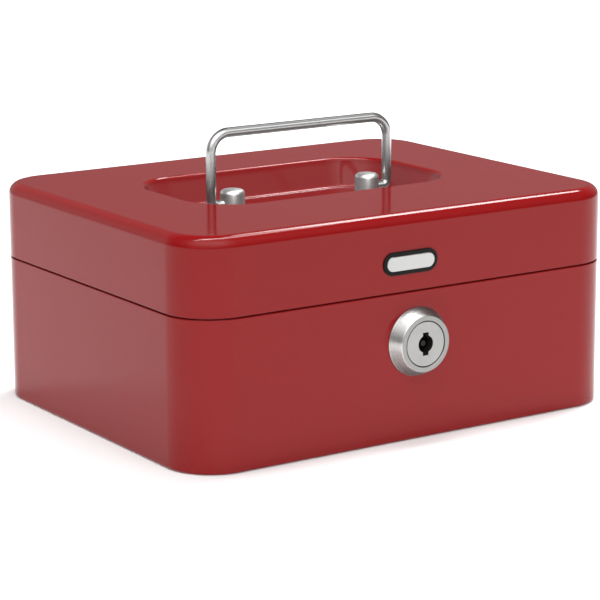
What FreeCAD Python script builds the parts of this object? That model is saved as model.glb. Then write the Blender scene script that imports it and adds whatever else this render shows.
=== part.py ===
# Cash box: a small steel box with a hinged, deep-drawn lid, a folding wire handle
# lying in a pressed well, a cam lock in the front wall and a lift-out coin tray.
# Millimetres.  +X is to the right when the box is faced, +Y is to the rear, +Z is up.
# The origin is the centre of the underside.
import FreeCAD, Part
import math
import os
from FreeCAD import Vector as V

os.makedirs("parts", exist_ok=True)

# ------------------------------------------------------------------ driving sizes
W, D, H = 202.0, 160.0, 90.0      # outside of the closed box, handle and lock apart
R_CORNER = 20.0                   # vertical corners, outside
T = 0.8                           # sheet steel of lid, body and floor
R_TOP = 4.6                       # lid's drawn top edge, outside
R_BOTTOM = 1.0                    # body's bottom bend, outside

SEAM_Z = 59.35                    # middle of the gap between lid and body
SEAM_GAP = 0.6
LID_Z = SEAM_Z + SEAM_GAP / 2     # lid's lower edge
BODY_Z = SEAM_Z - SEAM_GAP / 2    # body's shoulder
LIP_OFF = 1.3                     # lip's outside stands this far in from the wall's outside
LIP_Z = 67.0                      # top of the lip that the lid closes over
FLANGE = 9.0                      # body's bottom flange, from the wall's outside

WELL_X = 60.4                     # handle well, half length at the lid's top face
WELL_Y0, WELL_Y1 = -28.3, 41.25   # handle well, front and rear edges
WELL_R = 22.0                     # its corners, at the top face
WELL_DEPTH = 11.8
WELL_DRAFT = 4.6                  # how far the wall comes in over the depth
R_RIM, R_WELL = 1.8, 1.8          # rim and floor radii on the painted side

BAIL_D = 4.0                      # handle wire
BAIL_X = 43.0                     # legs' centre lines
BAIL_Y = 1.0
BAIL_PIVOT_Z = 84.4
BAIL_TOP_Z = 113.5                # grip's centre line
BAIL_R = 8.0                      # upper bends, centre line
POST_X, POST_D = 33.0, 10.0
POST_TOP_Z = 90.2
POST_BORE = 4.1                   # 0.05 mm of radial clearance on the wire

LOCK_Z = 39.2
BEZEL_R, BEZEL_FACE_R, BEZEL_H = 13.65, 11.15, 5.8
PLUG_FACE_R, BEZEL_BORE_R = 8.85, 9.15
BARREL_R, BARREL_FLAT = 9.5, 16.4
BARREL_END_Y = -64.0
PLUG_R, BARREL_BORE_R = 6.5, 6.57
KEY_R, KEY_SLOT_W, KEY_SLOT_R = 3.45, 2.7, 4.55
CAM_LEN, CAM_W, CAM_T = 16.5, 12.0, 2.0
STOP_T = 1.0                      # stop washer
STOP_FROM, STOP_TO = 7.0, 126.0   # its recess in the barrel's end, degrees clockwise from the top
TAIL = 3.5                        # half the width of the plug's square tail

HINGE_Y, HINGE_Z = 79.8, SEAM_Z   # hinge axis
HINGE_X, HINGE_L = 60.0, 40.0
KNUCKLE_R, PIN_R, PIN_BORE_R = 2.5, 1.25, 1.3
LEAF_T, LEAF_H = 1.0, 15.0

TRAY_W, TRAY_D, TRAY_R = 194.0, 152.0, 16.5
TRAY_Z0, TRAY_Z1, TRAY_T = 31.0, 54.4, 1.6
NOTCH_X, NOTCH_Y = 27.5, -56.0    # recess of the tray around the lock
LEDGE_W = 15.0                    # how far the brackets under the tray reach in

BADGE_X, BADGE_Z, BADGE_W, BADGE_H = -3.6, 71.0, 25.5, 9.0


# ------------------------------------------------------------------ helpers
def rrect(w, d, r, z, cx=0.0, cy=0.0):
    """Rounded rectangle as a wire in a horizontal plane."""
    x, y = w / 2.0, d / 2.0
    k = r * (1 - math.sqrt(0.5))
    p = lambda a, b: V(cx + a, cy + b, z)
    e = [
        Part.LineSegment(p(-x + r, -y), p(x - r, -y)).toShape(),
        Part.Arc(p(x - r, -y), p(x - k, -y + k), p(x, -y + r)).toShape(),
        Part.LineSegment(p(x, -y + r), p(x, y - r)).toShape(),
        Part.Arc(p(x, y - r), p(x - k, y - k), p(x - r, y)).toShape(),
        Part.LineSegment(p(x - r, y), p(-x + r, y)).toShape(),
        Part.Arc(p(-x + r, y), p(-x + k, y - k), p(-x, y - r)).toShape(),
        Part.LineSegment(p(-x, y - r), p(-x, -y + r)).toShape(),
        Part.Arc(p(-x, -y + r), p(-x + k, -y + k), p(-x + r, -y)).toShape(),
    ]
    return Part.Wire(e)


def prism(wire, h):
    return Part.Face(wire).extrude(V(0, 0, h))


def block(inset, z0, z1):
    """The box's plan shape, set in by inset, from z0 to z1."""
    return prism(rrect(W - 2 * inset, D - 2 * inset, R_CORNER - inset, z0), z1 - z0)


def box(x0, x1, y0, y1, z0, z1):
    return Part.makeBox(x1 - x0, y1 - y0, z1 - z0, V(x0, y0, z0))


def cyl(r, p, axis, length):
    return Part.makeCylinder(r, length, p, axis)


def edges_at(shape, z, tol=1e-3, keep=None):
    """Edges that lie in the horizontal plane at z."""
    out = []
    for e in shape.Edges:
        b = e.BoundBox
        if abs(b.ZMin - z) < tol and abs(b.ZMax - z) < tol and (keep is None or keep(b)):
            out.append(e)
    return out


def turned(profile, centre, axis_dir):
    """Turns a closed (radius, along) profile about an axis through centre along Y."""
    pts = [V(centre.x + r, a, centre.z) for r, a in profile]
    w = Part.makePolygon(pts + [pts[0]])
    return Part.Face(w).revolve(V(centre.x, 0, centre.z), axis_dir, 360)


def one(shape):
    """Tidies a boolean's result and returns its single solid."""
    s = shape.removeSplitter()
    if s.ShapeType != "Solid":
        solids = s.Solids
        assert len(solids) == 1, "expected one solid, got %d" % len(solids)
        s = solids[0]
    return s


made = []


def save(name, shape):
    solids = shape.Solids
    ok = shape.isValid() and all(s.Volume > 0 for s in solids)
    b = shape.BoundBox
    print("%-24s solids %2d valid %s vol %9.1f  x %.2f..%.2f y %.2f..%.2f z %.2f..%.2f" % (
        name, len(solids), ok, shape.Volume, b.XMin, b.XMax, b.YMin, b.YMax, b.ZMin, b.ZMax))
    shape.exportStep("parts/%s.step" % name)
    made.append(name)


# ------------------------------------------------------------------ body shell
# One wrap of sheet: wall, joggled lip that the lid closes over, bottom flange.
body = block(0, 0, BODY_Z)
body = body.makeFillet(R_BOTTOM, edges_at(body, 0))
body = body.makeFillet(0.35, edges_at(body, BODY_Z))
inside = block(T, T, BODY_Z - T)
inside = inside.makeFillet(0.4, edges_at(inside, T))
lip = block(LIP_OFF, BODY_Z - 0.1, LIP_Z)
lip = lip.makeFillet(0.25, edges_at(lip, LIP_Z))
throat = block(LIP_OFF + T, BODY_Z - T - 0.1, LIP_Z + 1)
base_shell = body.fuse(lip).cut(inside.fuse(throat))
base_shell = base_shell.cut(block(FLANGE, -1, T + 1))

# notches for the hinges, through wall, joggle and lip
for s in (-1, 1):
    x0 = s * HINGE_X - HINGE_L / 2 - 0.8
    base_shell = base_shell.cut(box(x0, x0 + HINGE_L + 1.6, 70, D / 2 + 1, HINGE_Z - 3.25, LIP_Z + 1))

# double-D hole for the lock
hole = cyl(BARREL_R + 0.15, V(0, -D / 2 - 1, LOCK_Z), V(0, 1, 0), 4)
hole = hole.common(box(-BARREL_FLAT / 2 - 0.12, BARREL_FLAT / 2 + 0.12, -D / 2 - 1, -D / 2 + 3, 0, H))
base_shell = one(base_shell.cut(hole))
save("base_shell", base_shell)

# ------------------------------------------------------------------ floor pan
# Its edge lies on the body's flange; its middle is pressed down level with the flange.
pan = block(1.25, T, 2 * T).cut(block(FLANGE + 1.2, 0, 3))
middle = block(FLANGE + 0.4, 0, 2 * T)
middle = middle.makeFillet(0.3, edges_at(middle, 0))
middle = middle.cut(block(FLANGE + 1.2, T, 3))
save("floor_pan", one(pan.fuse(middle)))

# ------------------------------------------------------------------ tray ledges
# Angle brackets, spot-welded to the end walls; the tray's floor stands on them.
for name, s in (("tray_ledge_left", -1), ("tray_ledge_right", 1)):
    xi = W / 2 - T
    a = box(min(s * xi, s * (xi - 1.0)), max(s * xi, s * (xi - 1.0)), -52, 52, 19, TRAY_Z0)
    b = box(min(s * xi, s * (xi - LEDGE_W)), max(s * xi, s * (xi - LEDGE_W)), -52, 52, TRAY_Z0 - 1.0, TRAY_Z0)
    save(name, one(a.fuse(b)))

# ------------------------------------------------------------------ lid shell
WC_Y, WL_Y = (WELL_Y0 + WELL_Y1) / 2, WELL_Y1 - WELL_Y0


def well(grow, depth, r_floor):
    """The pressed well as a plug: tapered, with a rounded floor edge."""
    slope = WELL_DRAFT / WELL_DEPTH
    top_z = H + 1.0
    g = grow + 1.0 * slope
    top = rrect(2 * (WELL_X + g), WL_Y + 2 * g, WELL_R + g, top_z, 0, WC_Y)
    g2 = grow - depth * slope
    bot = rrect(2 * (WELL_X + g2), WL_Y + 2 * g2, WELL_R + g2, H - depth, 0, WC_Y)
    plug = Part.makeLoft([bot, top], True, True)
    return plug.makeFillet(r_floor, edges_at(plug, H - depth))


def rim_edges(shape, z):
    keep = lambda b: abs(b.Center.x) < WELL_X + 3 and WELL_Y0 - 3 < b.Center.y < WELL_Y1 + 3 and b.XLength < 2 * WELL_X + 4 \
        and b.XMin > -WELL_X - 4 and b.XMax < WELL_X + 4 and b.YMin > WELL_Y0 - 4 and b.YMax < WELL_Y1 + 4
    return edges_at(shape, z, 1e-2, keep)


outer = block(0, LID_Z, H)
outer = outer.makeFillet(R_TOP, edges_at(outer, H))
outer = outer.makeFillet(0.25, edges_at(outer, LID_Z))
outer = outer.cut(well(0, WELL_DEPTH, R_WELL))
outer = outer.makeFillet(R_RIM, rim_edges(outer, H))
inner = block(T, LID_Z - 1, H - T)
inner = inner.makeFillet(R_TOP - T, edges_at(inner, H - T))
inner = inner.cut(well(T * math.hypot(1, WELL_DRAFT / WELL_DEPTH), WELL_DEPTH + T, R_WELL + T))
inner = inner.makeFillet(R_RIM - T, rim_edges(inner, H - T))
lid = outer.cut(inner)

for s in (-1, 1):
    x0 = s * HINGE_X - HINGE_L / 2 - 0.8
    lid = lid.cut(box(x0, x0 + HINGE_L + 1.6, 77, D / 2 + 1, LID_Z - 1, HINGE_Z + 3.25))
    lid = lid.cut(cyl(2.5, V(s * POST_X, BAIL_Y, H - WELL_DEPTH - 3), V(0, 0, 1), 6))
lid_shell = one(lid)
save("lid_shell", lid_shell)

# ------------------------------------------------------------------ hinges
SEG = HINGE_L / 5.0                                    # one of five knuckles
for side, s in (("left", -1), ("right", 1)):
    xa = s * HINGE_X - HINGE_L / 2
    yi = D / 2 - T                                     # inner face of the rear walls
    bore = cyl(PIN_BORE_R, V(xa - 1, HINGE_Y, HINGE_Z), V(1, 0, 0), HINGE_L + 2)
    for kind, mine, up in (("base", (0, 2, 4), -1), ("lid", (1, 3), 1)):
        z0, z1 = HINGE_Z + up * 2.95, HINGE_Z + up * (2.95 + LEAF_H)
        leaf = box(xa, xa + HINGE_L, yi - LEAF_T, yi, min(z0, z1), max(z0, z1))
        # the far corners of the leaf are rounded
        vert = [e for e in leaf.Edges if e.BoundBox.YLength > 0.5 and abs(e.BoundBox.ZMin - z1) < 1e-6]
        leaf = leaf.makeFillet(3.0, vert)
        for i in mine:
            x0 = xa + i * SEG + (0.06 if i else 0.0)
            x1 = xa + (i + 1) * SEG - (0.06 if i < 4 else 0.0)
            leaf = leaf.fuse(cyl(KNUCKLE_R, V(x0, HINGE_Y, HINGE_Z), V(1, 0, 0), x1 - x0))
            leaf = leaf.fuse(box(x0, x1, yi - LEAF_T, yi, min(HINGE_Z + up * 1.2, HINGE_Z + up * 3.5),
                                 max(HINGE_Z + up * 1.2, HINGE_Z + up * 3.5)))
        save("hinge_%s_leaf_%s" % (kind, side), one(leaf.cut(bore)))
    pin = cyl(PIN_R, V(xa - 0.05, HINGE_Y, HINGE_Z), V(1, 0, 0), HINGE_L + 0.1)
    for x, d in ((xa - 0.05, -1), (xa + HINGE_L + 0.05, 1)):
        pin = pin.fuse(Part.makeCone(1.9, 1.3, 0.7, V(x, HINGE_Y, HINGE_Z), V(d, 0, 0)))
    save("hinge_pin_%s" % side, one(pin))

# ------------------------------------------------------------------ lid catch
# A hook inside the lid's front wall that the lock's cam turns over.
CX0, CX1 = 15.0, 25.0
CY = -74.5                                             # outer face of the hook's drop
YI = -D / 2 + T
catch = box(5, 35, YI, YI + 1.2, 69.5, 84.0)
catch = catch.makeFillet(3.0, [e for e in catch.Edges if e.BoundBox.YLength > 0.5 and e.BoundBox.ZMin > 80])
catch = catch.fuse(box(CX0, CX1, YI, CY + 1.2, 68.4, 69.6))
catch = catch.fuse(box(CX0, CX1, YI, YI + 1.2, 68.4, 70.0))
catch = catch.fuse(box(CX0, CX1, CY, CY + 1.2, 31.0, 69.6))
ledge = box(CX0, CX1, CY, -58.5, 31.0, 32.2)
ledge = ledge.makeFillet(2.5, [e for e in ledge.Edges if e.BoundBox.ZLength > 0.5 and e.BoundBox.YMin > -60])
save("lid_catch", one(catch.fuse(ledge)))

# ------------------------------------------------------------------ handle posts, washers, bail
FLOOR_Z = H - WELL_DEPTH
for side, s in (("left", -1), ("right", 1)):
    head = cyl(POST_D / 2, V(s * POST_X, BAIL_Y, FLOOR_Z), V(0, 0, 1), POST_TOP_Z - FLOOR_Z)
    head = head.makeFillet(1.7, edges_at(head, POST_TOP_Z))
    # a low dome on the flat top
    dome_r = 14.0
    dome = Part.makeSphere(dome_r, V(s * POST_X, BAIL_Y, POST_TOP_Z + 0.35 - dome_r))
    head = head.fuse(dome.common(cyl(3.1, V(s * POST_X, BAIL_Y, POST_TOP_Z - 0.4), V(0, 0, 1), 2)))
    tail = cyl(2.45, V(s * POST_X, BAIL_Y, FLOOR_Z - T - 0.8 - 0.2), V(0, 0, 1), T + 0.8 + 0.4)
    peen = Part.makeCone(2.9, 3.8, 1.4, V(s * POST_X, BAIL_Y, FLOOR_Z - T - 0.8 - 1.4), V(0, 0, 1))
    post = head.fuse(tail).fuse(peen)
    xo = s * (POST_X + POST_D / 2 + 1)
    bore = cyl(POST_BORE / 2, V(xo, BAIL_Y, BAIL_PIVOT_Z), V(-s, 0, 0), POST_D / 2 + 1 + 3.6)
    save("handle_post_%s" % side, one(post.cut(bore)))
rings = []
for s in (-1, 1):
    ring = cyl(5.0, V(s * POST_X, BAIL_Y, FLOOR_Z - T - 0.8), V(0, 0, 1), 0.8)
    rings.append(ring.cut(cyl(2.5, V(s * POST_X, BAIL_Y, FLOOR_Z - 5), V(0, 0, 1), 6)))
save("handle_post_washers", Part.makeCompound(rings))

r = BAIL_D / 2
zt = BAIL_TOP_Z
bail = cyl(r, V(-BAIL_X + BAIL_R, BAIL_Y, zt), V(1, 0, 0), 2 * (BAIL_X - BAIL_R))
for s in (-1, 1):
    bail = bail.fuse(cyl(r, V(s * BAIL_X, BAIL_Y, BAIL_PIVOT_Z), V(0, 0, 1), zt - BAIL_R - BAIL_PIVOT_Z))
    circ = Part.Wire(Part.Circle(V(s * BAIL_X, BAIL_Y, zt - BAIL_R), V(0, 0, 1), r).toShape())
    bend = Part.Face(circ).revolve(V(s * (BAIL_X - BAIL_R), BAIL_Y, zt - BAIL_R), V(0, -s, 0), 90)
    bail = bail.fuse(bend)
    bail = bail.fuse(Part.makeSphere(r, V(s * BAIL_X, BAIL_Y, BAIL_PIVOT_Z)))
    foot = cyl(r, V(s * BAIL_X, BAIL_Y, BAIL_PIVOT_Z), V(-s, 0, 0), BAIL_X - (POST_X - 3.2))
    foot = foot.makeFillet(0.4, [e for e in foot.Edges if abs(e.BoundBox.XMin - s * (POST_X - 3.2)) < 1e-3
                                 and abs(e.BoundBox.XMax - s * (POST_X - 3.2)) < 1e-3])
    bail = bail.fuse(foot)
save("handle_bail", one(bail))

# ------------------------------------------------------------------ lock
LC = V(0, 0, LOCK_Z)
YF = -D / 2                                            # outer face of the front wall
YB = YF - BEZEL_H                                      # face of the bezel
AX = V(0, 1, 0)
prof = [(BEZEL_R, YF), (BEZEL_R, YF - 0.5), (BEZEL_R - 0.12, YF - 0.7), (BEZEL_FACE_R + 0.18, YB + 0.35), (BEZEL_FACE_R, YB + 0.1),
        (BEZEL_FACE_R - 0.15, YB), (BEZEL_BORE_R + 0.12, YB), (BEZEL_BORE_R, YB + 0.12), (BEZEL_BORE_R, YB + 3.1),
        (BARREL_BORE_R, YB + 3.1), (BARREL_BORE_R, BARREL_END_Y)]
# thread on the barrel as plain ridges, from its end up to the wall
a = BARREL_END_Y
prof += [(BARREL_R - 0.6, a)]
a -= 0.6
pitch = 1.25
while a - pitch > YF + T + 0.6:
    prof += [(BARREL_R, a - pitch * 0.3), (BARREL_R, a - pitch * 0.5), (BARREL_R - 0.45, a - pitch)]
    a -= pitch
prof += [(BARREL_R, a - 0.45), (BARREL_R, YF)]
housing = turned(prof, LC, AX)
flats = box(-30, 30, YF, -50, 0, 90).cut(box(-BARREL_FLAT / 2, BARREL_FLAT / 2, YF - 1, -49, -1, 91))
housing = housing.cut(flats)
# a sector of the barrel's end is cut away: the stop washer's tab turns 90 degrees in it
fan = [V(0, BARREL_END_Y - 1.2, LOCK_Z)]
for deg in (STOP_FROM, 30, 60, 90, STOP_TO):
    a = math.radians(deg)
    fan.append(V(20 * math.sin(a), BARREL_END_Y - 1.2, LOCK_Z + 20 * math.cos(a)))
housing = housing.cut(Part.Face(Part.makePolygon(fan + [fan[0]])).extrude(V(0, 3, 0)))
save("lock_housing", one(housing))

# plug: face disc, cylinder, tail; hollow for the detainer discs
P0 = YB + 0.15                                         # plug's face, a hair behind the bezel
CAV0, CAV1 = P0 + 3.6, -71.0                           # cavity
plug = cyl(PLUG_FACE_R, V(0, P0, LOCK_Z), AX, 2.75)
plug = plug.makeFillet(0.2, [e for e in plug.Edges if abs(e.BoundBox.YMax - P0) < 1e-4])
plug = plug.fuse(cyl(PLUG_R, V(0, P0 + 1, LOCK_Z), AX, BARREL_END_Y - (P0 + 1)))
YS = BARREL_END_Y + 0.05                               # stop washer's front face
YC = YS + STOP_T                                       # cam's front face
YH = YC + CAM_T                                        # spring washer's front face
tail = box(-TAIL, TAIL, BARREL_END_Y - 0.1, YH - 0.1, LOCK_Z - TAIL, LOCK_Z + TAIL)
plug = plug.fuse(tail)


def key_shape(y0, y1, grow=0.0):
    c = cyl(KEY_R + grow, V(0, y0, LOCK_Z), AX, y1 - y0)
    sl = box(-KEY_SLOT_W / 2 - grow, KEY_SLOT_W / 2 + grow, y0, y1, LOCK_Z - KEY_SLOT_R - grow, LOCK_Z + KEY_SLOT_R + grow)
    return c.fuse(sl)


plug = plug.cut(key_shape(P0 - 1, CAV0 + 0.5))
plug = plug.cut(cyl(5.5, V(0, CAV0, LOCK_Z), AX, CAV1 - CAV0))
plug = plug.cut(cyl(1.6, V(0, -69, LOCK_Z), AX, 12))   # tapped hole in the tail
plug = plug.cut(cyl(1.2, V(0, CAV1 - 1, LOCK_Z), AX, 1.8))
save("lock_plug", one(plug))

# centre post of the keyway
post = cyl(1.2, V(0, P0 + 1.6, LOCK_Z), AX, CAV1 + 0.8 - (P0 + 1.6))
post = post.makeFillet(0.3, [e for e in post.Edges if abs(e.BoundBox.YMax - (P0 + 1.6)) < 1e-4])
save("lock_key_post", one(post))

# five detainer discs, a hair apart
discs = []
n, gap = 5, 0.2
th = (CAV1 - CAV0 - gap * (n + 1)) / n
for i in range(n):
    y0 = CAV0 + gap + i * (th + gap)
    d = cyl(5.4, V(0, y0, LOCK_Z), AX, th)
    discs.append(d.cut(key_shape(y0 - 1, y0 + th + 1, 0.12)))
save("lock_discs", Part.makeCompound(discs))

# washer and nut behind the wall
YW = YF + T
washer = cyl(12.5, V(0, YW, LOCK_Z), AX, 0.6).cut(cyl(BARREL_R + 0.2, V(0, YW - 1, LOCK_Z), AX, 3))
save("lock_washer", one(washer))
hexw = Part.makePolygon([V(23 / math.sqrt(3) * math.cos(math.radians(60 * k + 30)), YW + 0.6,
                           LOCK_Z + 23 / math.sqrt(3) * math.sin(math.radians(60 * k + 30))) for k in range(7)])
nut = Part.Face(hexw).extrude(V(0, 3.6, 0))
nut = nut.common(turned([(0, YW + 0.6), (11.9, YW + 0.6), (13.6, YW + 1.4), (13.6, YW + 3.4), (11.9, YW + 4.2), (0, YW + 4.2)], LC, AX))
nut = nut.cut(cyl(BARREL_R + 0.03, V(0, YW - 1, LOCK_Z), AX, 8))
save("lock_nut", one(nut))

# stop washer: square hole on the plug's tail, tab in the barrel's recess
SQ = TAIL + 0.05
stop = cyl(8.6, V(0, YS, LOCK_Z), AX, STOP_T)
tab = box(1.6, 4.6, BARREL_END_Y - 1.0, YC, LOCK_Z + 7.0, LOCK_Z + 9.3)
tab = tab.common(cyl(9.3, V(0, -70, LOCK_Z), AX, 10))
stop = stop.fuse(tab).cut(box(-SQ, SQ, YS - 2, YS + 3, LOCK_Z - SQ, LOCK_Z + SQ))
save("cam_stop_washer", one(stop))

# cam
cam = cyl(8.0, V(0, YC, LOCK_Z), AX, CAM_T)
cam = cam.fuse(box(-CAM_W / 2, CAM_W / 2, YC, YC + CAM_T, LOCK_Z, LOCK_Z + CAM_LEN))
cam = cam.fuse(cyl(CAM_W / 2, V(0, YC, LOCK_Z + CAM_LEN), AX, CAM_T))
cam = cam.cut(box(-SQ, SQ, YC - 1, YC + 5, LOCK_Z - SQ, LOCK_Z + SQ))
save("lock_cam", one(cam))

# cam screw with a pan head, and a spring washer under it
sw = cyl(5.2, V(0, YH, LOCK_Z), AX, 0.8).cut(cyl(2.1, V(0, YH - 1, LOCK_Z), AX, 3))
save("cam_spring_washer", one(sw))
head = cyl(4.0, V(0, YH + 0.8, LOCK_Z), AX, 2.4)
head = head.makeFillet(1.0, [e for e in head.Edges if abs(e.BoundBox.YMin - (YH + 3.2)) < 1e-4])
screw = head.fuse(cyl(1.55, V(0, -66.5, LOCK_Z), AX, YH + 1.0 + 66.5))
for a_, b_ in ((2.6, 0.45), (0.45, 2.6)):
    screw = screw.cut(box(-a_, a_, YH + 0.8 + 1.0, YH + 5, LOCK_Z - b_, LOCK_Z + b_))
save("cam_screw", one(screw))

# ------------------------------------------------------------------ badge: plain plate with a plain inlay
def pill(w, h, y0, y1):
    c = box(-w / 2 + h / 2, w / 2 - h / 2, y0, y1, BADGE_Z - h / 2, BADGE_Z + h / 2)
    for s in (-1, 1):
        c = c.fuse(cyl(h / 2, V(s * (w / 2 - h / 2), y0, BADGE_Z), AX, y1 - y0))
    c = c.removeSplitter()
    c.translate(V(BADGE_X, 0, 0))
    return c


plate = pill(BADGE_W, BADGE_H, YF - 0.6, YF)
plate = plate.makeFillet(0.2, [e for e in plate.Edges if abs(e.BoundBox.YMax - (YF - 0.6)) < 1e-3])
plate = plate.cut(pill(BADGE_W - 3.0, BADGE_H - 3.0, YF - 1.0, YF - 0.3))
save("badge_plate", one(plate))
inlay = pill(BADGE_W - 3.2, BADGE_H - 3.2, YF - 0.85, YF - 0.3)
inlay = inlay.makeFillet(0.25, [e for e in inlay.Edges if abs(e.BoundBox.YMax - (YF - 0.85)) < 1e-3])
save("badge_inlay", one(inlay))

# ------------------------------------------------------------------ coin tray
TT = TRAY_T


def tray_plan(inset, z0, z1):
    return prism(rrect(TRAY_W - 2 * inset, TRAY_D - 2 * inset, TRAY_R - inset, z0), z1 - z0)


def notch(grow, z0, z1):
    w = prism(rrect(2 * (NOTCH_X + grow), 60, 5.0, z0, 0, NOTCH_Y + grow - 30), z1 - z0)
    return w


cups = [  # x0, x1, y0, y1 of each compartment's mouth
    (-95, -33.5, 8, 74), (-31.5, 31.5, 8, 74), (33.5, 95, 8, 74),
    (-95, -31.5, -74, 4), (-29.5, 29.5, -52, 4), (31.5, 95, -74, 4),
]
tray = tray_plan(0, TRAY_Z1 - TT, TRAY_Z1)
skirt = tray_plan(0, TRAY_Z1 - 9, TRAY_Z1).cut(tray_plan(TT, TRAY_Z1 - 10, TRAY_Z1 + 1))
tray = tray.fuse(skirt)
tray = tray.cut(notch(0, 0, 90))
nskirt = notch(TT, TRAY_Z1 - 9, TRAY_Z1).cut(notch(0, 0, 90)).common(tray_plan(0, 0, 90))
tray = tray.fuse(nskirt)
hollows = []
for x0, x1, y0, y1 in cups:
    def cup(g, z0, z1, rv, rf):
        c = prism(rrect(x1 - x0 + 2 * g, y1 - y0 + 2 * g, rv + g, z0, (x0 + x1) / 2, (y0 + y1) / 2), z1 - z0)
        c = c.common(tray_plan(2.0 - g, z0 - 1, z1 + 1)).removeSplitter()
        c = c.Solids[0]
        return c.makeFillet(rf, edges_at(c, z0))
    tray = tray.fuse(cup(TT, TRAY_Z0, TRAY_Z1, 9.0, 8.6))
    hollows.append(cup(0.0, TRAY_Z0 + TT, TRAY_Z1 + 2, 9.0, 7.0))
for h_ in hollows:
    tray = tray.cut(h_)
# finger grip standing on the middle divider
grip = box(-15, 15, 4.2, 7.8, TRAY_Z1 - 8, TRAY_Z1 + 8)
grip = grip.makeFillet(6.0, [e for e in grip.Edges if e.BoundBox.YLength > 1 and e.BoundBox.ZMin > TRAY_Z1])
grip = grip.makeFillet(1.2, [e for e in grip.Edges if e.BoundBox.ZMax > TRAY_Z1 and e.BoundBox.YLength < 0.01])
tray = tray.fuse(grip)
tray = one(tray)
save("coin_tray", tray)

print(len(made), "nodes")
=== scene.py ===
import math

import bmesh
import bpy
from mathutils import Matrix, Vector


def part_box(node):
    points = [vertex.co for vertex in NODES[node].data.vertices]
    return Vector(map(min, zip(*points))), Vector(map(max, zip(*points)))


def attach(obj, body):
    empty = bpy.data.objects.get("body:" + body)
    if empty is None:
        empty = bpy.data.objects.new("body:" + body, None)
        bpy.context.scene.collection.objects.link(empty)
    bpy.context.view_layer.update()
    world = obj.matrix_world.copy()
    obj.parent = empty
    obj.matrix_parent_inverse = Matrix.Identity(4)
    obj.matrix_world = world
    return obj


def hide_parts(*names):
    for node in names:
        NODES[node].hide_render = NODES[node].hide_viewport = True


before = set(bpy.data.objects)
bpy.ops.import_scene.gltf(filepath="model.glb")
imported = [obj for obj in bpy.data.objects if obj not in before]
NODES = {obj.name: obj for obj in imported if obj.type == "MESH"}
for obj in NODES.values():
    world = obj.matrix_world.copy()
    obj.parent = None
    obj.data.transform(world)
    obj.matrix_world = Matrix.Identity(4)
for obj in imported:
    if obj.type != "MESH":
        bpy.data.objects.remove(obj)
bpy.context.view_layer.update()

MM = 0.001

# ---------------------------------------------------------------- sizes, from the frame
LO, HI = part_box("base_shell")
LLO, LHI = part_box("lid_shell")
HX, HY = HI.x, HI.y                      # half width and half depth, metres
Z_TOP = LHI.z                            # lid's top face
Z_LID = LLO.z                            # lid's lower edge
Z_LIP = HI.z                             # top of the body's lip
LOCK_LO, LOCK_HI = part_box("lock_housing")
LOCK_Z = (LOCK_LO.z + LOCK_HI.z) / 2
B_LO, B_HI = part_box("handle_bail")
P_LO, P_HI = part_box("handle_post_right")

T = 0.8 * MM                             # sheet
R = 20.0 * MM                            # vertical corners
R_TOP = 4.6 * MM
Z_BODY = Z_LID - 0.6 * MM                # body's shoulder, under the seam
WELL_DEPTH = 11.8 * MM
WELL_HX, WELL_HY, WELL_CY, WELL_R = 60.4 * MM, 34.775 * MM, 6.475 * MM, 22.0 * MM
SLOPE = 4.6 / 11.8
R_RIM = R_WELL = 1.8 * MM
NC = 28                                  # segments of a quarter-turn corner

# Both sheets are cut away at the rear round the hinges.
NOTCHES = [(x - 20.8 * MM, x + 20.8 * MM) for x in (-60 * MM, 60 * MM)]
NOTCH_LOW, NOTCH_HIGH = 56.1 * MM, 62.6 * MM


# ---------------------------------------------------------------- mesh helpers
def arc(cx, cz, r, a0, a1, n):
    """Points of an arc in a profile's plane, degrees, both ends included."""
    return [(cx + r * math.cos(math.radians(a0 + (a1 - a0) * k / n)),
             cz + r * math.sin(math.radians(a0 + (a1 - a0) * k / n))) for k in range(n + 1)]


def fractions(stops, length):
    return [(s + length / 2) / length for s in sorted(stops)]


def spread(a, b, n):
    return [a + (b - a) * k / n for k in range(n + 1)]


class Plan:
    """A rounded rectangle's points, in the same order and number at every inset."""

    def __init__(self, front, right, rear, left):
        self.sides = (front, right, rear, left)     # fractions along each straight

    def ring(self, hx, hy, r, z, cy=0.0):
        x, y = hx - r, hy - r
        corners = [(-x, -hy), (x, -hy), (hx, -y), (hx, y), (x, hy), (-x, hy), (-hx, y), (-hx, -y)]
        centres = [(x, -y, -90), (x, y, 0), (-x, y, 90), (-x, -y, 180)]
        pts = []
        for s in range(4):
            (ax, ay), (bx, by) = corners[2 * s], corners[2 * s + 1]
            for f in self.sides[s]:
                pts.append(Vector((ax + (bx - ax) * f, cy + ay + (by - ay) * f, z)))
            ox, oy, a0 = centres[s]
            for k in range(1, NC):
                a = math.radians(a0 + 90.0 * k / NC)
                pts.append(Vector((ox + r * math.cos(a), cy + oy + r * math.sin(a), z)))
        return pts


def new_object(bm, name, material, sharp=38.0):
    bmesh.ops.recalc_face_normals(bm, faces=bm.faces)
    me = bpy.data.meshes.new(name)
    bm.to_mesh(me)
    bm.free()
    for p in me.polygons:
        p.use_smooth = True
    me.set_sharp_from_angle(angle=math.radians(sharp))
    ob = bpy.data.objects.new(name, me)
    bpy.context.scene.collection.objects.link(ob)
    me.materials.append(material)
    weighted(ob)
    return ob


def weighted(ob):
    """Face-weighted normals keep flat panels flat beside their rounded edges."""
    m = ob.modifiers.new("weighted_normals", "WEIGHTED_NORMAL")
    m.mode = "FACE_AREA"
    m.weight = 50
    m.keep_sharp = True
    return m


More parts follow.
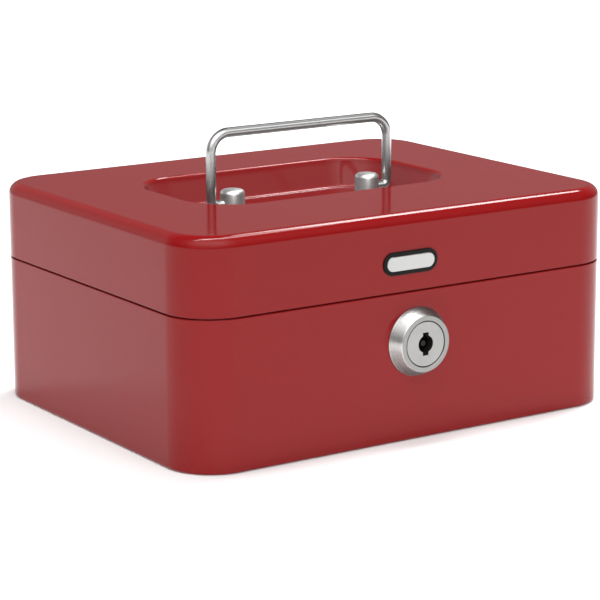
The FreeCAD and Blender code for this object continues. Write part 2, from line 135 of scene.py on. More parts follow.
def skin(bm, rings, closed=False, keep=None):
    """Quads between rings of vertices. keep(j, i) says which to make."""
    n = len(rings[0])
    faces = {}
    last = len(rings) if closed else len(rings) - 1
    for j in range(last):
        a, b = rings[j], rings[(j + 1) % len(rings)]
        for i in range(n):
            if keep is not None and not keep(j, i):
                continue
            k = (i + 1) % n
            faces[j, i] = bm.faces.new((a[i], a[k], b[k], b[i]))
    return faces


def revolve(bm, profile, centre, axis, n=96):
    """A closed solid of revolution from (radius, along) points; a radius of 0 is a pole."""
    ref = {"y": (Vector((1, 0, 0)), Vector((0, 0, 1)), Vector((0, 1, 0))),
           "z": (Vector((1, 0, 0)), Vector((0, 1, 0)), Vector((0, 0, 1)))}[axis]
    u, v, w = ref
    rings = []
    for r, a in profile:
        if r < 1e-9:
            rings.append([bm.verts.new(centre + w * a)])
        else:
            rings.append([bm.verts.new(centre + w * a + (u * math.cos(2 * math.pi * k / n) + v * math.sin(2 * math.pi * k / n)) * r)
                          for k in range(n)])
    for a, b in zip(rings, rings[1:]):
        for i in range(n):
            k = (i + 1) % n
            if len(a) == 1:
                bm.faces.new((a[0], b[i], b[k]))
            elif len(b) == 1:
                bm.faces.new((a[i], a[k], b[0]))
            else:
                bm.faces.new((a[i], a[k], b[k], b[i]))


def fill(bm, *loops):
    """Fills a flat region bounded by one outer loop and any inner loops."""
    edges = []
    for loop in loops:
        for i in range(len(loop)):
            pair = (loop[i], loop[(i + 1) % len(loop)])
            edges.append(bm.edges.get(pair) or bm.edges.new(pair))
    bmesh.ops.triangle_fill(bm, use_beauty=True, use_dissolve=False, edges=edges)


# ---------------------------------------------------------------- materials
def nodes_of(name):
    m = bpy.data.materials.new(name)
    m.use_nodes = True
    nt = m.node_tree
    nt.nodes.clear()
    out = nt.nodes.new("ShaderNodeOutputMaterial")
    b = nt.nodes.new("ShaderNodeBsdfPrincipled")
    nt.links.new(b.outputs["BSDF"], out.inputs["Surface"])
    return m, nt, b


def add(nt, kind, **values):
    n = nt.nodes.new(kind)
    for k, v in values.items():
        if k in n.inputs.keys():
            n.inputs[k].default_value = v
        else:
            setattr(n, k, v)
    return n


def link(nt, a, ai, b, bi):
    nt.links.new(a.outputs[ai], b.inputs[bi])


def coords(nt, scale=(1, 1, 1), rot=(0, 0, 0), loc=(0, 0, 0)):
    """Object coordinates, in metres, scaled."""
    tc = nt.nodes.new("ShaderNodeTexCoord")
    mp = nt.nodes.new("ShaderNodeMapping")
    mp.inputs["Scale"].default_value = scale
    mp.inputs["Rotation"].default_value = rot
    mp.inputs["Location"].default_value = loc
    link(nt, tc, "Object", mp, "Vector")
    return mp


def noise(nt, vec, scale, detail=3.0, rough=0.5):
    n = add(nt, "ShaderNodeTexNoise", Scale=scale, Detail=detail, Roughness=rough)
    link(nt, vec, 0, n, "Vector")
    return n


def remap(nt, src, out, lo, hi, a=0.0, b=1.0):
    r = nt.nodes.new("ShaderNodeMapRange")
    r.inputs["From Min"].default_value = lo
    r.inputs["From Max"].default_value = hi
    r.inputs["To Min"].default_value = a
    r.inputs["To Max"].default_value = b
    link(nt, src, out, r, "Value")
    return r


def blend_colour(nt, fac, fac_out, c1, c2):
    m = nt.nodes.new("ShaderNodeMix")
    m.data_type = "RGBA"
    link(nt, fac, fac_out, m, 0)
    m.inputs[6].default_value = (*c1, 1)
    m.inputs[7].default_value = (*c2, 1)
    return m


def red_paint():
    m, nt, b = nodes_of("red_powder_coat")
    vec = coords(nt)
    slow = noise(nt, vec, 9.0, 2.0)                   # batches of powder, over centimetres
    fac = remap(nt, slow, "Fac", 0.3, 0.7)
    col = blend_colour(nt, fac, 0, (0.248, 0.0058, 0.0064), (0.260, 0.0066, 0.0074))
    # painted light: on the lid's upper side the handle well's walls get a paler, pinker red than the paint's own,
    # standing in for light that reaches into the well
    tc = nt.nodes.new("ShaderNodeTexCoord")
    at = nt.nodes.new("ShaderNodeSeparateXYZ")
    link(nt, tc, "Object", at, 0)
    facing = nt.nodes.new("ShaderNodeSeparateXYZ")
    link(nt, tc, "Normal", facing, 0)
    wide = nt.nodes.new("ShaderNodeMath")
    wide.operation = "ABSOLUTE"
    link(nt, at, "X", wide, 0)
    well_light_mask_parts = [remap(nt, at, "Z", Z_TOP - 3.0 * MM, Z_TOP - 0.3 * MM, 1, 0),
              remap(nt, at, "Z", Z_TOP - 14 * MM, Z_TOP - 13 * MM, 0, 1),
              remap(nt, wide, 0, WELL_HX + 2 * MM, WELL_HX + 3 * MM, 1, 0),
              remap(nt, at, "Y", -31 * MM, -30 * MM, 0, 1), remap(nt, at, "Y", 43 * MM, 44 * MM, 1, 0),
              remap(nt, facing, "Z", 0.05, 0.25, 0, 1), remap(nt, facing, "Z", 0.5, 0.9, 1, 0)]
    mask = well_light_mask_parts[0]
    for part in well_light_mask_parts[1:]:
        both = nt.nodes.new("ShaderNodeMath")
        both.operation = "MULTIPLY"
        link(nt, mask, 0, both, 0)
        link(nt, part, 0, both, 1)
        mask = both
    # the painted well light: the masked walls blend towards the lighter red below
    painted_well_light = nt.nodes.new("ShaderNodeMix")
    painted_well_light.data_type = "RGBA"
    link(nt, mask, 0, painted_well_light, 0)
    nt.links.new(col.outputs[2], painted_well_light.inputs[6])
    painted_well_light.inputs[7].default_value = (0.290, 0.032, 0.033, 1)
    col = painted_well_light
    # painted reflection: glossy rays see the paint as a darker, greyer colour than its own, with painted light making
    # upward faces lighter than the sides, so bright metal beside it mirrors it that way
    seen = nt.nodes.new("ShaderNodeLightPath")
    painted_reflection_mix = nt.nodes.new("ShaderNodeMix")
    painted_reflection_mix.data_type = "RGBA"
    link(nt, seen, "Is Glossy Ray", painted_reflection_mix, 0)
    nt.links.new(col.outputs[2], painted_reflection_mix.inputs[6])
    upward = remap(nt, facing, "Z", 0.3, 0.7)
    grey = blend_colour(nt, upward, 0, (0.075, 0.034, 0.034), (0.13, 0.118, 0.118))
    nt.links.new(grey.outputs[2], painted_reflection_mix.inputs[7])
    nt.links.new(painted_reflection_mix.outputs[2], b.inputs["Base Color"])
    b.inputs["IOR"].default_value = 1.335
    r = remap(nt, slow, "Fac", 0.3, 0.7, 0.080, 0.100)
    link(nt, r, 0, b, "Roughness")
    peel = noise(nt, vec, 900.0, 2.0, 0.5)            # orange peel, about a millimetre across
    fine = noise(nt, vec, 3200.0, 1.0, 0.4)
    b1 = add(nt, "ShaderNodeBump", Strength=0.10, Distance=0.00003)
    link(nt, peel, "Fac", b1, "Height")
    b2 = add(nt, "ShaderNodeBump", Strength=0.06, Distance=0.00001)
    link(nt, fine, "Fac", b2, "Height")
    link(nt, b1, "Normal", b2, "Normal")
    link(nt, b2, "Normal", b, "Normal")
    return m


def metal(name, colour, colour2, rough, rough2, scale=(1, 1, 1), fine=1500.0, bump=0.12, slow=60.0, painted_reflection_colour=None):
    """Plated metal: a slow cloudiness, and fine marks stretched by scale."""
    m, nt, b = nodes_of(name)
    b.inputs["Metallic"].default_value = 1.0
    cloud = noise(nt, coords(nt), slow, 2.0)
    marks = noise(nt, coords(nt, scale), fine, 3.0, 0.6)
    fac = remap(nt, cloud, "Fac", 0.3, 0.7)
    col = blend_colour(nt, fac, 0, colour, colour2)
    nt.links.new(col.outputs[2], b.inputs["Base Color"])
    mixed = nt.nodes.new("ShaderNodeMath")
    mixed.operation = "MULTIPLY_ADD"
    link(nt, marks, "Fac", mixed, 0)
    mixed.inputs[1].default_value = 0.7
    link(nt, cloud, "Fac", mixed, 2)
    r = remap(nt, mixed, 0, 0.5, 1.2, rough, rough2)
    link(nt, r, 0, b, "Roughness")
    bm_ = add(nt, "ShaderNodeBump", Strength=bump, Distance=0.00002)
    link(nt, marks, "Fac", bm_, "Height")
    link(nt, bm_, "Normal", b, "Normal")
    if painted_reflection_colour:                                      # painted reflection: glossy rays see the metal as this flat colour instead of its own, so the paint beside it mirrors it that way
        seen = nt.nodes.new("ShaderNodeLightPath")
        painted_reflection_mix = nt.nodes.new("ShaderNodeMix")
        painted_reflection_mix.data_type = "RGBA"
        link(nt, seen, "Is Glossy Ray", painted_reflection_mix, 0)
        nt.links.new(col.outputs[2], painted_reflection_mix.inputs[6])
        painted_reflection_mix.inputs[7].default_value = (*painted_reflection_colour, 1)
        nt.links.new(painted_reflection_mix.outputs[2], b.inputs["Base Color"])
    return m


def turned_metal(name, colour, colour2, rough, rough2, centre, axis, pitch=0.00025, bump=0.10, face=None):
    """Metal turned or brushed round an axis: rings about the centre, uneven in depth."""
    m, nt, b = nodes_of(name)
    b.inputs["Metallic"].default_value = 1.0
    tc = nt.nodes.new("ShaderNodeTexCoord")
    sub = nt.nodes.new("ShaderNodeVectorMath")
    sub.operation = "SUBTRACT"
    link(nt, tc, "Object", sub, 0)
    sub.inputs[1].default_value = centre
    flat = nt.nodes.new("ShaderNodeVectorMath")
    flat.operation = "MULTIPLY"
    link(nt, sub, 0, flat, 0)
    flat.inputs[1].default_value = (1, 0, 1) if axis == "y" else (1, 1, 0)
    length = nt.nodes.new("ShaderNodeVectorMath")
    length.operation = "LENGTH"
    link(nt, flat, 0, length, 0)
    comb = nt.nodes.new("ShaderNodeCombineXYZ")
    link(nt, length, "Value", comb, 0)
    sep = nt.nodes.new("ShaderNodeSeparateXYZ")
    link(nt, sub, 0, sep, 0)
    link(nt, sep, "Y" if axis == "y" else "Z", comb, 1)
    rings = add(nt, "ShaderNodeTexNoise", Scale=1.0 / pitch, Detail=3.0, Roughness=0.7)
    link(nt, comb, 0, rings, "Vector")
    cloud = noise(nt, coords(nt), 120.0, 2.0)
    fac = remap(nt, cloud, "Fac", 0.3, 0.7)
    col = blend_colour(nt, fac, 0, colour, colour2)
    if face:                                          # the flat front face is given a darker grey than the cone
        reach, grey = face
        ring = remap(nt, length, "Value", reach - 0.0001, reach + 0.0001)
        flat_ = nt.nodes.new("ShaderNodeMix")
        flat_.data_type = "RGBA"
        link(nt, ring, 0, flat_, 0)
        flat_.inputs[6].default_value = (*grey, 1)
        nt.links.new(col.outputs[2], flat_.inputs[7])
        col = flat_
    nt.links.new(col.outputs[2], b.inputs["Base Color"])
    r = remap(nt, rings, "Fac", 0.25, 0.75, rough, rough2)
    link(nt, r, 0, b, "Roughness")
    bm_ = add(nt, "ShaderNodeBump", Strength=bump, Distance=0.00002)
    link(nt, rings, "Fac", bm_, "Height")
    link(nt, bm_, "Normal", b, "Normal")
    return m


def plastic(name, c1, c2, rough, rough2, grain, bump, distance=0.00006, gloss=0.5):
    m, nt, b = nodes_of(name)
    vec = coords(nt)
    cloud = noise(nt, vec, 30.0, 2.0)
    g = noise(nt, vec, grain, 2.0, 0.6)
    fac = remap(nt, cloud, "Fac", 0.3, 0.7)
    col = blend_colour(nt, fac, 0, c1, c2)
    nt.links.new(col.outputs[2], b.inputs["Base Color"])
    b.inputs["IOR"].default_value = 1.5
    b.inputs["Specular IOR Level"].default_value = gloss
    r = remap(nt, g, "Fac", 0.3, 0.7, rough, rough2)
    link(nt, r, 0, b, "Roughness")
    bm_ = add(nt, "ShaderNodeBump", Strength=bump, Distance=distance)
    link(nt, g, "Fac", bm_, "Height")
    link(nt, bm_, "Normal", b, "Normal")
    return m


LOCK_C = (0.0, -HY, LOCK_Z)
BEZEL_FACE = (LOCK_HI.x - LOCK_LO.x) / 2 - 2.5 * MM    # radius where the cone meets the front face
PAINT = red_paint()
# the wire shows glossy rays a painted reflection colour, a flat dark grey
WIRE = metal("nickel_wire", (0.76, 0.758, 0.75), (0.80, 0.798, 0.79), 0.26, 0.31, (0.01, 1, 0.01), 9000.0, 0.02, painted_reflection_colour=(0.22, 0.22, 0.22))
POST = turned_metal("nickel_post", (0.86, 0.855, 0.84), (0.90, 0.895, 0.88), 0.38, 0.46,
                    ((P_LO.x + P_HI.x) / 2, 0.001, 0.0), "z")
POST_L = turned_metal("nickel_post_left", (0.86, 0.855, 0.84), (0.90, 0.895, 0.88), 0.38, 0.46,
                      (-(P_LO.x + P_HI.x) / 2, 0.001, 0.0), "z")
BEZEL = turned_metal("satin_nickel_bezel", (0.80, 0.795, 0.78), (0.84, 0.835, 0.82), 0.24, 0.32, LOCK_C, "y",
                     face=(BEZEL_FACE, (0.31, 0.31, 0.30)))
PLUG = turned_metal("satin_nickel_plug", (0.38, 0.378, 0.372), (0.42, 0.418, 0.412), 0.30, 0.40, LOCK_C, "y")
ZINC = metal("zinc_plate", (0.58, 0.60, 0.62), (0.66, 0.66, 0.64), 0.28, 0.46, (1, 1, 1), 900.0, 0.15, 90.0)
PIN = metal("steel_pin", (0.60, 0.60, 0.60), (0.66, 0.66, 0.66), 0.20, 0.34, (0.05, 1, 1), 2200.0, 0.12)
DARK = metal("oiled_steel", (0.03, 0.03, 0.031), (0.05, 0.05, 0.05), 0.45, 0.60, (1, 1, 1), 1500.0, 0.15)
BRASS = metal("blanked_brass", (0.20, 0.145, 0.065), (0.26, 0.19, 0.09), 0.26, 0.42, (1, 0.05, 1), 1800.0, 0.15)
TRAY = plastic("black_moulded_plastic", (0.012, 0.012, 0.013), (0.018, 0.018, 0.019), 0.38, 0.55, 1400.0, 0.25)
BADGE_BLACK = plastic("badge_black", (0.006, 0.006, 0.006), (0.010, 0.010, 0.010), 0.12, 0.20, 800.0, 0.05, gloss=0.12)
BADGE_FACE = metal("badge_silver", (0.52, 0.52, 0.515), (0.58, 0.58, 0.575), 0.26, 0.38, (0.03, 1, 1), 3000.0, 0.12)

FINISH = {
    "floor_pan": PAINT, "tray_ledge_left": PAINT, "tray_ledge_right": PAINT,
    "lock_housing": BEZEL, "lock_plug": PLUG, "lock_key_post": DARK, "lock_discs": BRASS,
    "lock_washer": ZINC, "lock_nut": ZINC, "cam_stop_washer": ZINC, "lock_cam": ZINC,
    "cam_spring_washer": ZINC, "cam_screw": ZINC, "lid_catch": ZINC, "handle_post_washers": ZINC,
    "hinge_base_leaf_left": ZINC, "hinge_base_leaf_right": ZINC,
    "hinge_lid_leaf_left": ZINC, "hinge_lid_leaf_right": ZINC,
    "hinge_pin_left": PIN, "hinge_pin_right": PIN,
    "badge_plate": BADGE_BLACK, "badge_inlay": BADGE_FACE, "coin_tray": TRAY,
}
for n, mat in FINISH.items():
    ob = NODES[n]
    for s in range(len(ob.material_slots)):
        ob.material_slots[s].link = "OBJECT"
        ob.material_slots[s].material = mat


# ---------------------------------------------------------------- body shell
LH = 12 * MM                                          # half of the square patch that holds the lock's hole
KL = 16                                               # its segments
front = sorted(set([-81 * MM, -60 * MM, -40 * MM, -25 * MM] + spread(-LH, LH, KL) + [25 * MM, 40 * MM, 60 * MM, 81 * MM]))
rear = sorted([-81 * MM, 81 * MM, 0.0, -20 * MM, 20 * MM] + [v for p in NOTCHES for v in spread(p[0], p[1], 4)])
side = [0.0, 0.12, 0.25, 0.375, 0.5, 0.625, 0.75, 0.88, 1.0]
F_FRONT = fractions(front, 162 * MM)
F_REAR = fractions([-x for x in rear], 162 * MM)      # the rear side runs from right to left
PLAN = Plan(F_FRONT, side, F_REAR, side)
N_FRONT = len(F_FRONT)
REAR0 = N_FRONT + len(side) + 2 * (NC - 1)            # ring index of the rear side's first point


def in_notch(i):
    """Whether the ring's segment i lies in a hinge notch, and which."""
    s = i - REAR0
    if 0 <= s < len(F_REAR) - 1:
        x = (0.5 - (F_REAR[s] + F_REAR[s + 1]) / 2) * 162 * MM
        for k, (a, b) in enumerate(NOTCHES):
            if a < x < b:
                return k + 1
    return 0


def close_notches(bm, rings, jo, ji):
    """Closes the sheet's cut edges round the notches between profile rows jo and ji."""
    n = len(rings[0])
    for i in range(n):
        here, before = in_notch(i), in_notch((i - 1) % n)
        if here:
            k = (i + 1) % n
            bm.faces.new((rings[jo][i], rings[jo][k], rings[ji][k], rings[ji][i]))
        if bool(here) != bool(before):
            bm.faces.new([rings[j][i] for j in range(jo, ji + 1)] if jo < ji
                         else [rings[j][i] for j in list(range(jo, len(rings))) + list(range(0, ji + 1))])


def body_shell():
    z = lambda v: v * MM
    zb, zl = Z_BODY / MM, Z_LIP / MM
    lz = LOCK_Z / MM
    lock_rows = [v / MM for v in spread(LOCK_Z - LH, LOCK_Z + LH, KL)]
    up = [1.0, 5.0, 12.0, 20.0] + lock_rows + [53.6, NOTCH_LOW / MM, zb - 0.35]
    prof = [(0.0, v) for v in up]
    prof += arc(0.35, zb - 0.35, 0.35, 180, 90, 6)[1:]
    prof += arc(1.1, zb + 0.2, 0.2, -90, 0, 4)
    prof += [(1.3, zb + 3), (1.3, zl - 0.3)]
    prof += arc(1.6, zl - 0.3, 0.3, 180, 90, 5)[1:]
    prof += arc(1.8, zl - 0.3, 0.3, 90, 0, 5)
    prof += [(2.1, zb + 3)]
    prof += arc(1.9, zb - 0.6, 0.2, 0, -90, 4)
    prof += arc(1.0, zb - 1.0, 0.2, 90, 180, 4)
    down = [NOTCH_LOW / MM, 53.6] + lock_rows[::-1] + [20.0, 12.0, 5.0]
    prof += [(0.8, v) for v in down]
    prof += arc(1.2, 1.2, 0.4, 180, 270, 4)
    prof += [(5.0, 0.8)]
    prof += arc(8.85, 0.65, 0.15, 90, 0, 3) + arc(8.85, 0.15, 0.15, 0, -90, 3)
    prof += [(5.0, 0.0)]
    prof += arc(1.0, 1.0, 1.0, 270, 180, 8)[:-1]
    bm = bmesh.new()
    rings = [[bm.verts.new(p) for p in PLAN.ring(HX - d * MM, HY - d * MM, R - d * MM, v * MM)] for d, v in prof]
    jo = next(j for j, p in enumerate(prof) if p == (0.0, NOTCH_LOW / MM))
    ji = next(j for j, p in enumerate(prof) if p == (0.8, NOTCH_LOW / MM))
    i0 = front.index(-LH)
    a0 = next(j for j, p in enumerate(prof) if p[0] == 0.0 and abs(p[1] - lock_rows[0]) < 1e-6)
    b0 = next(j for j, p in enumerate(prof) if p[0] == 0.8 and abs(p[1] - lock_rows[-1]) < 1e-6)

    def keep(j, i):
        if in_notch(i) and jo <= j < ji:
            return False
        if i0 <= i < i0 + KL and (a0 <= j < a0 + KL or b0 <= j < b0 + KL):
            return False
        return True

    skin(bm, rings, closed=True, keep=keep)
    close_notches(bm, rings, jo, ji)
    # the lock's double-D hole, in the patch left open above
    circles = []
    for rows in (list(range(a0, a0 + KL + 1)), list(range(b0 + KL, b0 - 1, -1))):
        edge = ([rings[rows[0]][i] for i in range(i0, i0 + KL)]
                + [rings[rows[k]][i0 + KL] for k in range(KL)]
                + [rings[rows[-1]][i] for i in range(i0 + KL, i0, -1)]
                + [rings[rows[k]][i0] for k in range(KL, 0, -1)])
        circle = []
        for v in edge:
            a = math.atan2(v.co.z - LOCK_Z, v.co.x)
            x = max(-8.32 * MM, min(8.32 * MM, 9.65 * MM * math.cos(a)))
            circle.append(bm.verts.new((x, v.co.y, LOCK_Z + 9.65 * MM * math.sin(a))))
        n = len(edge)
        for i in range(n):
            k = (i + 1) % n
            bm.faces.new((edge[i], edge[k], circle[k], circle[i]))
        circles.append(circle)
    a, b = circles
    for i in range(len(a)):
        k = (i + 1) % len(a)
        bm.faces.new((a[i], a[k], b[k], b[i]))
    ob = new_object(bm, "body_shell_painted", PAINT)
    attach(ob, "base")
    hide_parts("base_shell")
    return ob


# ---------------------------------------------------------------- lid
def lid():
    zt, zl = Z_TOP / MM, Z_LID / MM
    d = math.degrees(math.atan(SLOPE))
    c, s = math.cos(math.radians(d)), math.sin(math.radians(d))
    t = T / MM
    rt, rr, rw = R_TOP / MM, R_RIM / MM, R_WELL / MM
    depth = WELL_DEPTH / MM
    # (where, offset, z, normal): the painted side from the lower edge to the well's floor
    outer = [("d", 0.0, v, (-1, 0)) for v in (zl + 0.25, NOTCH_HIGH / MM, 66.0, 72.0, 79.0, zt - rt)]
    for k in range(1, 21):
        a = math.radians(180 - 90 * k / 20)
        outer.append(("d", rt + rt * math.cos(a), zt - rt + rt * math.sin(a), (math.cos(a), math.sin(a))))
    gc = rr / c - rr * SLOPE
    for k in range(0, 15):
        a = math.radians(90 + (90 - d) * k / 14)
        outer.append(("g", gc + rr * math.cos(a), zt - rr + rr * math.sin(a), (math.cos(a), math.sin(a))))
    fc = -(rw / c + (depth - rw) * SLOPE)
    g0, z0 = gc - rr * c, zt - rr + rr * s
    g1, z1 = fc + rw * c, zt - depth + rw - rw * s
    for k in (0.33, 0.67):
        outer.append(("g", g0 + (g1 - g0) * k, z0 + (z1 - z0) * k, (-c, s)))
    for k in range(0, 13):
        a = math.radians(-d + (-90 + d) * k / 12)
        outer.append(("g", fc + rw * math.cos(a), zt - depth + rw + rw * math.sin(a), (-math.cos(a), -math.sin(a))))
    inner = [(w, o - t * n[0], v - t * n[1], n) for w, o, v, n in outer[1:]]
    edge = [("d", x, v, None) for x, v in arc(0.65, zl + 0.15, 0.15, 0, -90, 4) + arc(0.25, zl + 0.25, 0.25, 270, 180, 6)[:-1]]
    rows = inner[::-1] + edge + outer
    bm = bmesh.new()

    def ring(w, o, v):
        if w == "d":
            return PLAN.ring(HX - o * MM, HY - o * MM, R - o * MM, v * MM)
        return PLAN.ring(WELL_HX + o * MM, WELL_HY + o * MM, WELL_R + o * MM, v * MM, WELL_CY)

    rings = [[bm.verts.new(p) for p in ring(w, o, v)] for w, o, v, _ in rows]
    ji = next(j for j, r in enumerate(rows) if r[0] == "d" and abs(r[1] - t) < 1e-6 and abs(r[2] - NOTCH_HIGH / MM) < 1e-6)
    jo = next(j for j, r in enumerate(rows) if r[0] == "d" and abs(r[1]) < 1e-6 and abs(r[2] - NOTCH_HIGH / MM) < 1e-6)
    skin(bm, rings, keep=lambda j, i: not (in_notch(i) and ji <= j < jo))
    close_notches(bm, rings, ji, jo)
    holes = []
    for k, loop in ((0, rings[0]), (1, rings[-1])):
        zc = loop[0].co.z
        pair = []
        for sx in (-1, 1):
            x = sx * (P_LO.x + P_HI.x) / 2
            pair.append([bm.verts.new((x + 2.5 * MM * math.cos(2 * math.pi * q / 48), 0.001 + 2.5 * MM * math.sin(2 * math.pi * q / 48), zc))
                         for q in range(48)])
        fill(bm, loop, *pair)
        holes.append(pair)
    for low, high in zip(*holes):
        for i in range(48):
            k = (i + 1) % 48
            bm.faces.new((low[i], low[k], high[k], high[i]))
    ob = new_object(bm, "lid_shell_painted", PAINT)
    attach(ob, "lid")
    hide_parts("lid_shell")
    return ob


# ---------------------------------------------------------------- wire handle
def bail():
    r = (B_HI.y - B_LO.y) / 2
    y = (B_HI.y + B_LO.y) / 2
    x = B_HI.x - r
    zt = B_HI.z - r
    zp = B_LO.z + r
    foot = 29.8 * MM
    rb, rl = 8.0 * MM, 2.5 * MM
    path = [(foot + (x - rl - foot) * k / 5, zp) for k in range(5)]
    path += [(a, b) for a, b in arc(x - rl, zp + rl, rl, -90, 0, 14)]
    path += [(x, zp + rl + (zt - rb - zp - rl) * k / 6) for k in range(1, 6)]
    path += [(a, b) for a, b in arc(x - rb, zt - rb, rb, 0, 90, 28)]
    half = path + [((x - rb) * (1 - k / 10), zt) for k in range(1, 11)]
    full = half + [(-a, b) for a, b in half[-2::-1]]
    n = 40
    bm = bmesh.new()
    rings = []
    m = len(full)
    for i, (px, pz) in enumerate(full):
        a, b = full[max(0, i - 1)], full[min(m - 1, i + 1)]
        tx, tz = b[0] - a[0], b[1] - a[1]
        ln = math.hypot(tx, tz)
        nx, nz = -tz / ln, tx / ln
        rings.append([bm.verts.new((px + nx * r * math.cos(q), y + r * math.sin(q), pz + nz * r * math.cos(q)))
                      for q in [2 * math.pi * k / n for k in range(n)]])
    skin(bm, rings)
    # rounded ends
    for end, sgn in ((0, -1), (m - 1, 1)):
        base = rings[end]
        px, pz = full[end]
        dx = -0.4 * MM if end == 0 else 0.4 * MM
        prev = base
        for k in range(1, 5):
            a = math.radians(90 * k / 4)
            f = (r - 0.4 * MM + 0.4 * MM * math.cos(a)) / r
            off = dx * math.sin(a)
            new = [bm.verts.new((v.co.x + off, y + (v.co.y - y) * f, pz + (v.co.z - pz) * f)) for v in base]
            for i in range(n):
                q = (i + 1) % n
                bm.faces.new((prev[i], prev[q], new[q], new[i]))
            prev = new
        bm.faces.new(prev)
    ob = new_object(bm, "wire_handle", WIRE)
    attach(ob, "handle")
    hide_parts("handle_bail")
    return ob


# ---------------------------------------------------------------- handle posts
def post(name, node, sx, material):
    lo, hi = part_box(node)
    cx, cy = (lo.x + hi.x) / 2, (lo.y + hi.y) / 2
    top = hi.z / MM
    floor = (Z_TOP - WELL_DEPTH) / MM
    a = math.radians(78)
    zc = top - 1.7 * math.sin(a) - (3.3 + 1.7 * math.cos(a)) / math.cos(a) * (1 - math.sin(a))
    prof = [(0, lo.z / MM), (1.9, lo.z / MM), (2.8, lo.z / MM + 0.25), (3.45, lo.z / MM + 0.7), (3.75, lo.z / MM + 1.15), (3.7, lo.z / MM + 1.4),
            (2.45, lo.z / MM + 1.4), (2.45, floor), (4.6, floor), (4.85, floor + 0.06), (4.98, floor + 0.2), (5.0, floor + 0.4)]
    prof += [(5.0, floor + 3), (5.0, zc - 1.5)]
    prof += [(3.3 + 1.7 * math.cos(math.radians(78 * k / 12)), zc + 1.7 * math.sin(math.radians(78 * k / 12))) for k in range(13)]
    rd = (3.3 + 1.7 * math.cos(a)) / math.cos(a)
    zd = top - rd
    prof += [(rd * math.sin(q), zd + rd * math.cos(q)) for q in [math.radians(12 * (1 - k / 8)) for k in range(1, 8)]] + [(0, top)]
    bm = bmesh.new()
    revolve(bm, [(p * MM, v * MM) for p, v in prof], Vector((cx, cy, 0)), "z", 96)
    ob = new_object(bm, name, material, 30.0)
    # the bore that the handle's end turns in
    cut = bmesh.new()
    zp = B_LO.z + (B_HI.y - B_LO.y) / 2
    n = 64
    rings = []
    for x in (29.4 * MM, 39.5 * MM):
        rings.append([cut.verts.new((sx * x, cy + 2.05 * MM * math.cos(2 * math.pi * k / n), zp + 2.05 * MM * math.sin(2 * math.pi * k / n)))
                      for k in range(n)])
    skin(cut, rings)
    cut.faces.new(rings[0])
    cut.faces.new(rings[1])
    bmesh.ops.recalc_face_normals(cut, faces=cut.faces)
    me = bpy.data.meshes.new("cutter")
    cut.to_mesh(me)
    cut.free()
    tool = bpy.data.objects.new("cutter", me)
    bpy.context.scene.collection.objects.link(tool)
    mod = ob.modifiers.new("bore", "BOOLEAN")
    mod.operation = "DIFFERENCE"
    mod.solver = "EXACT"
    mod.object = tool
    ob.modifiers.move(len(ob.modifiers) - 1, 0)
    dg = bpy.context.evaluated_depsgraph_get()
    ob.modifiers["weighted_normals"].show_viewport = False
    dg.update()
    done = bpy.data.meshes.new_from_object(ob.evaluated_get(dg), depsgraph=dg)
    ob.modifiers.remove(mod)
    ob.modifiers["weighted_normals"].show_viewport = True
    ob.data = done
    done.set_sharp_from_angle(angle=math.radians(30))
    bpy.data.objects.remove(tool)
    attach(ob, "lid")
    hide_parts(node)
    return ob


body_shell()
lid()
GRIP = bail()
POSTS = [post("post_right", "handle_post_right", 1, POST), post("post_left", "handle_post_left", -1, POST_L)]

# ---------------------------------------------------------------- stage
def plane(name, size, loc, material):
    bm = bmesh.new()
    bmesh.ops.create_grid(bm, x_segments=2, y_segments=2, size=size)
    me = bpy.data.meshes.new(name)
    bm.to_mesh(me)
    bm.free()
    ob = bpy.data.objects.new(name, me)
    ob.location = loc
    bpy.context.scene.collection.objects.link(ob)
    me.materials.append(material)
    return ob


fm, fnt, fb = nodes_of("studio_floor")
fvec = coords(fnt)
fn = noise(fnt, fvec, 2.0, 2.0)
ff = remap(fnt, fn, "Fac", 0.3, 0.7)
fcol = blend_colour(fnt, ff, 0, (0.93, 0.93, 0.93), (0.95, 0.95, 0.95))
fnt.links.new(fcol.outputs[2], fb.inputs["Base Color"])
fb.inputs["Roughness"].default_value = 0.9
fb.inputs["Emission Color"].default_value = (1, 1, 1, 1)    # a pale table lit a little from below
fb.inputs["Emission Strength"].default_value = 0.08
fb.inputs["Specular IOR Level"].default_value = 0.1
plane("studio_floor", 6.0, (0, 0, -0.0002), fm)

# ---------------------------------------------------------------- light
def direction(az, el):
    """Towards a light. az is measured as the viewer's: 0 is at -Y, 90 at -X, 180 at +Y, 270 at +X."""
    a, e = math.radians(az), math.radians(el)
    return Vector((-math.sin(a) * math.cos(e), -math.cos(a) * math.cos(e), math.sin(e)))


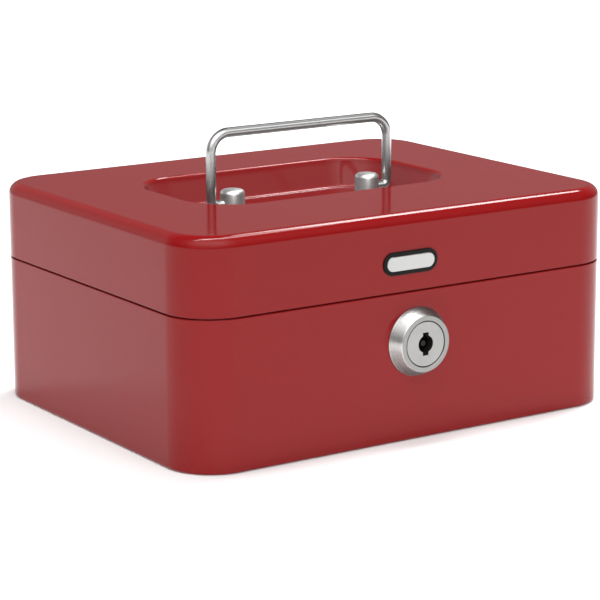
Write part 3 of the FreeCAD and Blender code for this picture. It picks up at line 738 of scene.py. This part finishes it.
# Soft round glows on the studio's walls and ceiling: azimuth, elevation, tightness, strength.
GLOWS = [
    (0, 55, 12, 1.85), (60, 55, 12, 1.68), (60, 30, 12, 0.76), (20, 30, 12, 0.95), (340, 30, 12, 0.34),
    (180, 30, 12, 0.26), (260, 30, 12, 0.15), (100, 30, 12, 0.11), (140, 30, 12, 0.07),
    (150, 6, 12, 0.64), (240, 6, 12, 0.30), (180, 6, 12, 0.23), (270, 6, 12, 0.10),
    (0, 35, 60, 0.36), (30, 20, 60, 0.15), (213, 13, 60, 0.09),
]
world = bpy.data.worlds.new("studio")
bpy.context.scene.world = world
world.use_nodes = True
wt = world.node_tree
wb = wt.nodes["Background"]
wb.inputs[0].default_value = (1, 1, 1, 1)
sky = wt.nodes.new("ShaderNodeTexCoord")
total = None
for az, el, k, strength in GLOWS:
    d = wt.nodes.new("ShaderNodeVectorMath")
    d.operation = "DOT_PRODUCT"
    link(wt, sky, "Generated", d, 0)
    d.inputs[1].default_value = direction(az, el)
    # strength * exp(k (cos - 1))
    e = wt.nodes.new("ShaderNodeMath")
    e.operation = "MULTIPLY_ADD"
    link(wt, d, "Value", e, 0)
    e.inputs[1].default_value = k
    e.inputs[2].default_value = math.log(strength) - k
    x = wt.nodes.new("ShaderNodeMath")
    x.operation = "EXPONENT"
    link(wt, e, 0, x, 0)
    if total is None:
        total = x
    else:
        s = wt.nodes.new("ShaderNodeMath")
        s.operation = "ADD"
        link(wt, total, 0, s, 0)
        link(wt, x, 0, s, 1)
        total = s
link(wt, total, 0, wb, 1)
bpy.context.scene.view_settings.view_transform = "Standard"
bpy.context.scene.view_settings.look = "None"


def softbox(name, az, el, dist, size, power, spot=(0, 0, 0.045)):
    """A rectangular soft light that faces the box."""
    target = Vector(spot)
    pos = target + direction(az, el) * dist
    l = bpy.data.lights.new(name, "AREA")
    l.shape = "RECTANGLE"
    l.size, l.size_y = size
    l.energy = power
    ob = bpy.data.objects.new(name, l)
    ob.location = pos
    ob.rotation_mode = "QUATERNION"
    ob.rotation_quaternion = (target - pos).to_track_quat("-Z", "Y")
    bpy.context.scene.collection.objects.link(ob)
    return ob


def ceiling(name, x0, x1, y0, y1, radiance, h=1.6):
    """A downward panel h above the lid. x and y are given as fractions of h."""
    l = bpy.data.lights.new(name, "AREA")
    l.shape = "RECTANGLE"
    l.size, l.size_y = (x1 - x0) * h, (y1 - y0) * h
    l.energy = radiance * math.pi * l.size * l.size_y
    ob = bpy.data.objects.new(name, l)
    ob.location = ((x0 + x1) / 2 * h, (y0 + y1) / 2 * h, Z_TOP + h)
    bpy.context.scene.collection.objects.link(ob)
    return ob


# One long ceiling light from left to right, bent to the rear at its right end.
BARS = [("bar_left", -0.45, -0.20, -0.05, 0.12, 8.2), ("bar_middle", -0.20, 0.05, -0.05, 0.12, 19.0),
        ("bar_right", 0.05, 0.35, -0.05, 0.12, 14.6), ("bar_far_right", 0.35, 0.65, -0.05, 0.12, 5.3),
        ("bend_front", 0.35, 0.65, 0.12, 0.27, 10.5), ("bend_middle", 0.65, 0.95, 0.12, 0.27, 18.5),
        ("bend_rear", 0.65, 0.95, 0.27, 0.45, 18.5), ("bend_end", 0.65, 0.95, 0.45, 0.70, 10.5)]
# It is kept off the bright wire, which gets small soft lights of its own.
shaded = bpy.data.collections.new("not_lit_by_the_bars")
shaded.objects.link(GRIP)
shaded.collection_objects[0].light_linking.link_state = "EXCLUDE"
for bar in BARS:
    ceiling(*bar).light_linking.receiver_collection = shaded
only = bpy.data.collections.new("lit_by_the_wire_lights")
for ob in [GRIP] + POSTS:
    only.objects.link(ob)
for lamp in (softbox("wire_light_right", 318, 38, 1.6, (0.50, 0.24), 0.85, (0, 0, 0.11)),
             softbox("wire_light_rear", 252, 56, 1.6, (0.55, 0.30), 0.60, (0, 0, 0.11))):
    lamp.light_linking.receiver_collection = only
caps = bpy.data.collections.new("lit_by_the_post_light")
for ob in POSTS:
    caps.objects.link(ob)
softbox("post_light", 20, 8, 1.2, (0.50, 0.30), 3.8, (0, 0, 0.09)).light_linking.receiver_collection = caps

# ---------------------------------------------------------------- camera
cam = bpy.data.cameras.new("camera")
cam.lens = 144.468
cam.sensor_width = 36.0
cam.clip_start, cam.clip_end = 0.02, 50.0
co = bpy.data.objects.new("camera", cam)
right = Vector((0.83323, -0.55291, -0.003856)).normalized()
back = Vector((-0.538154, -0.812551, 0.223944)).normalized()
up = back.cross(right).normalized()
right = up.cross(back).normalized()
co.matrix_world = Matrix(((right.x, up.x, back.x, -0.537093), (right.y, up.y, back.y, -0.809006),
                          (right.z, up.z, back.z, 0.263499), (0, 0, 0, 1)))
bpy.context.scene.collection.objects.link(co)
bpy.context.scene.camera = co
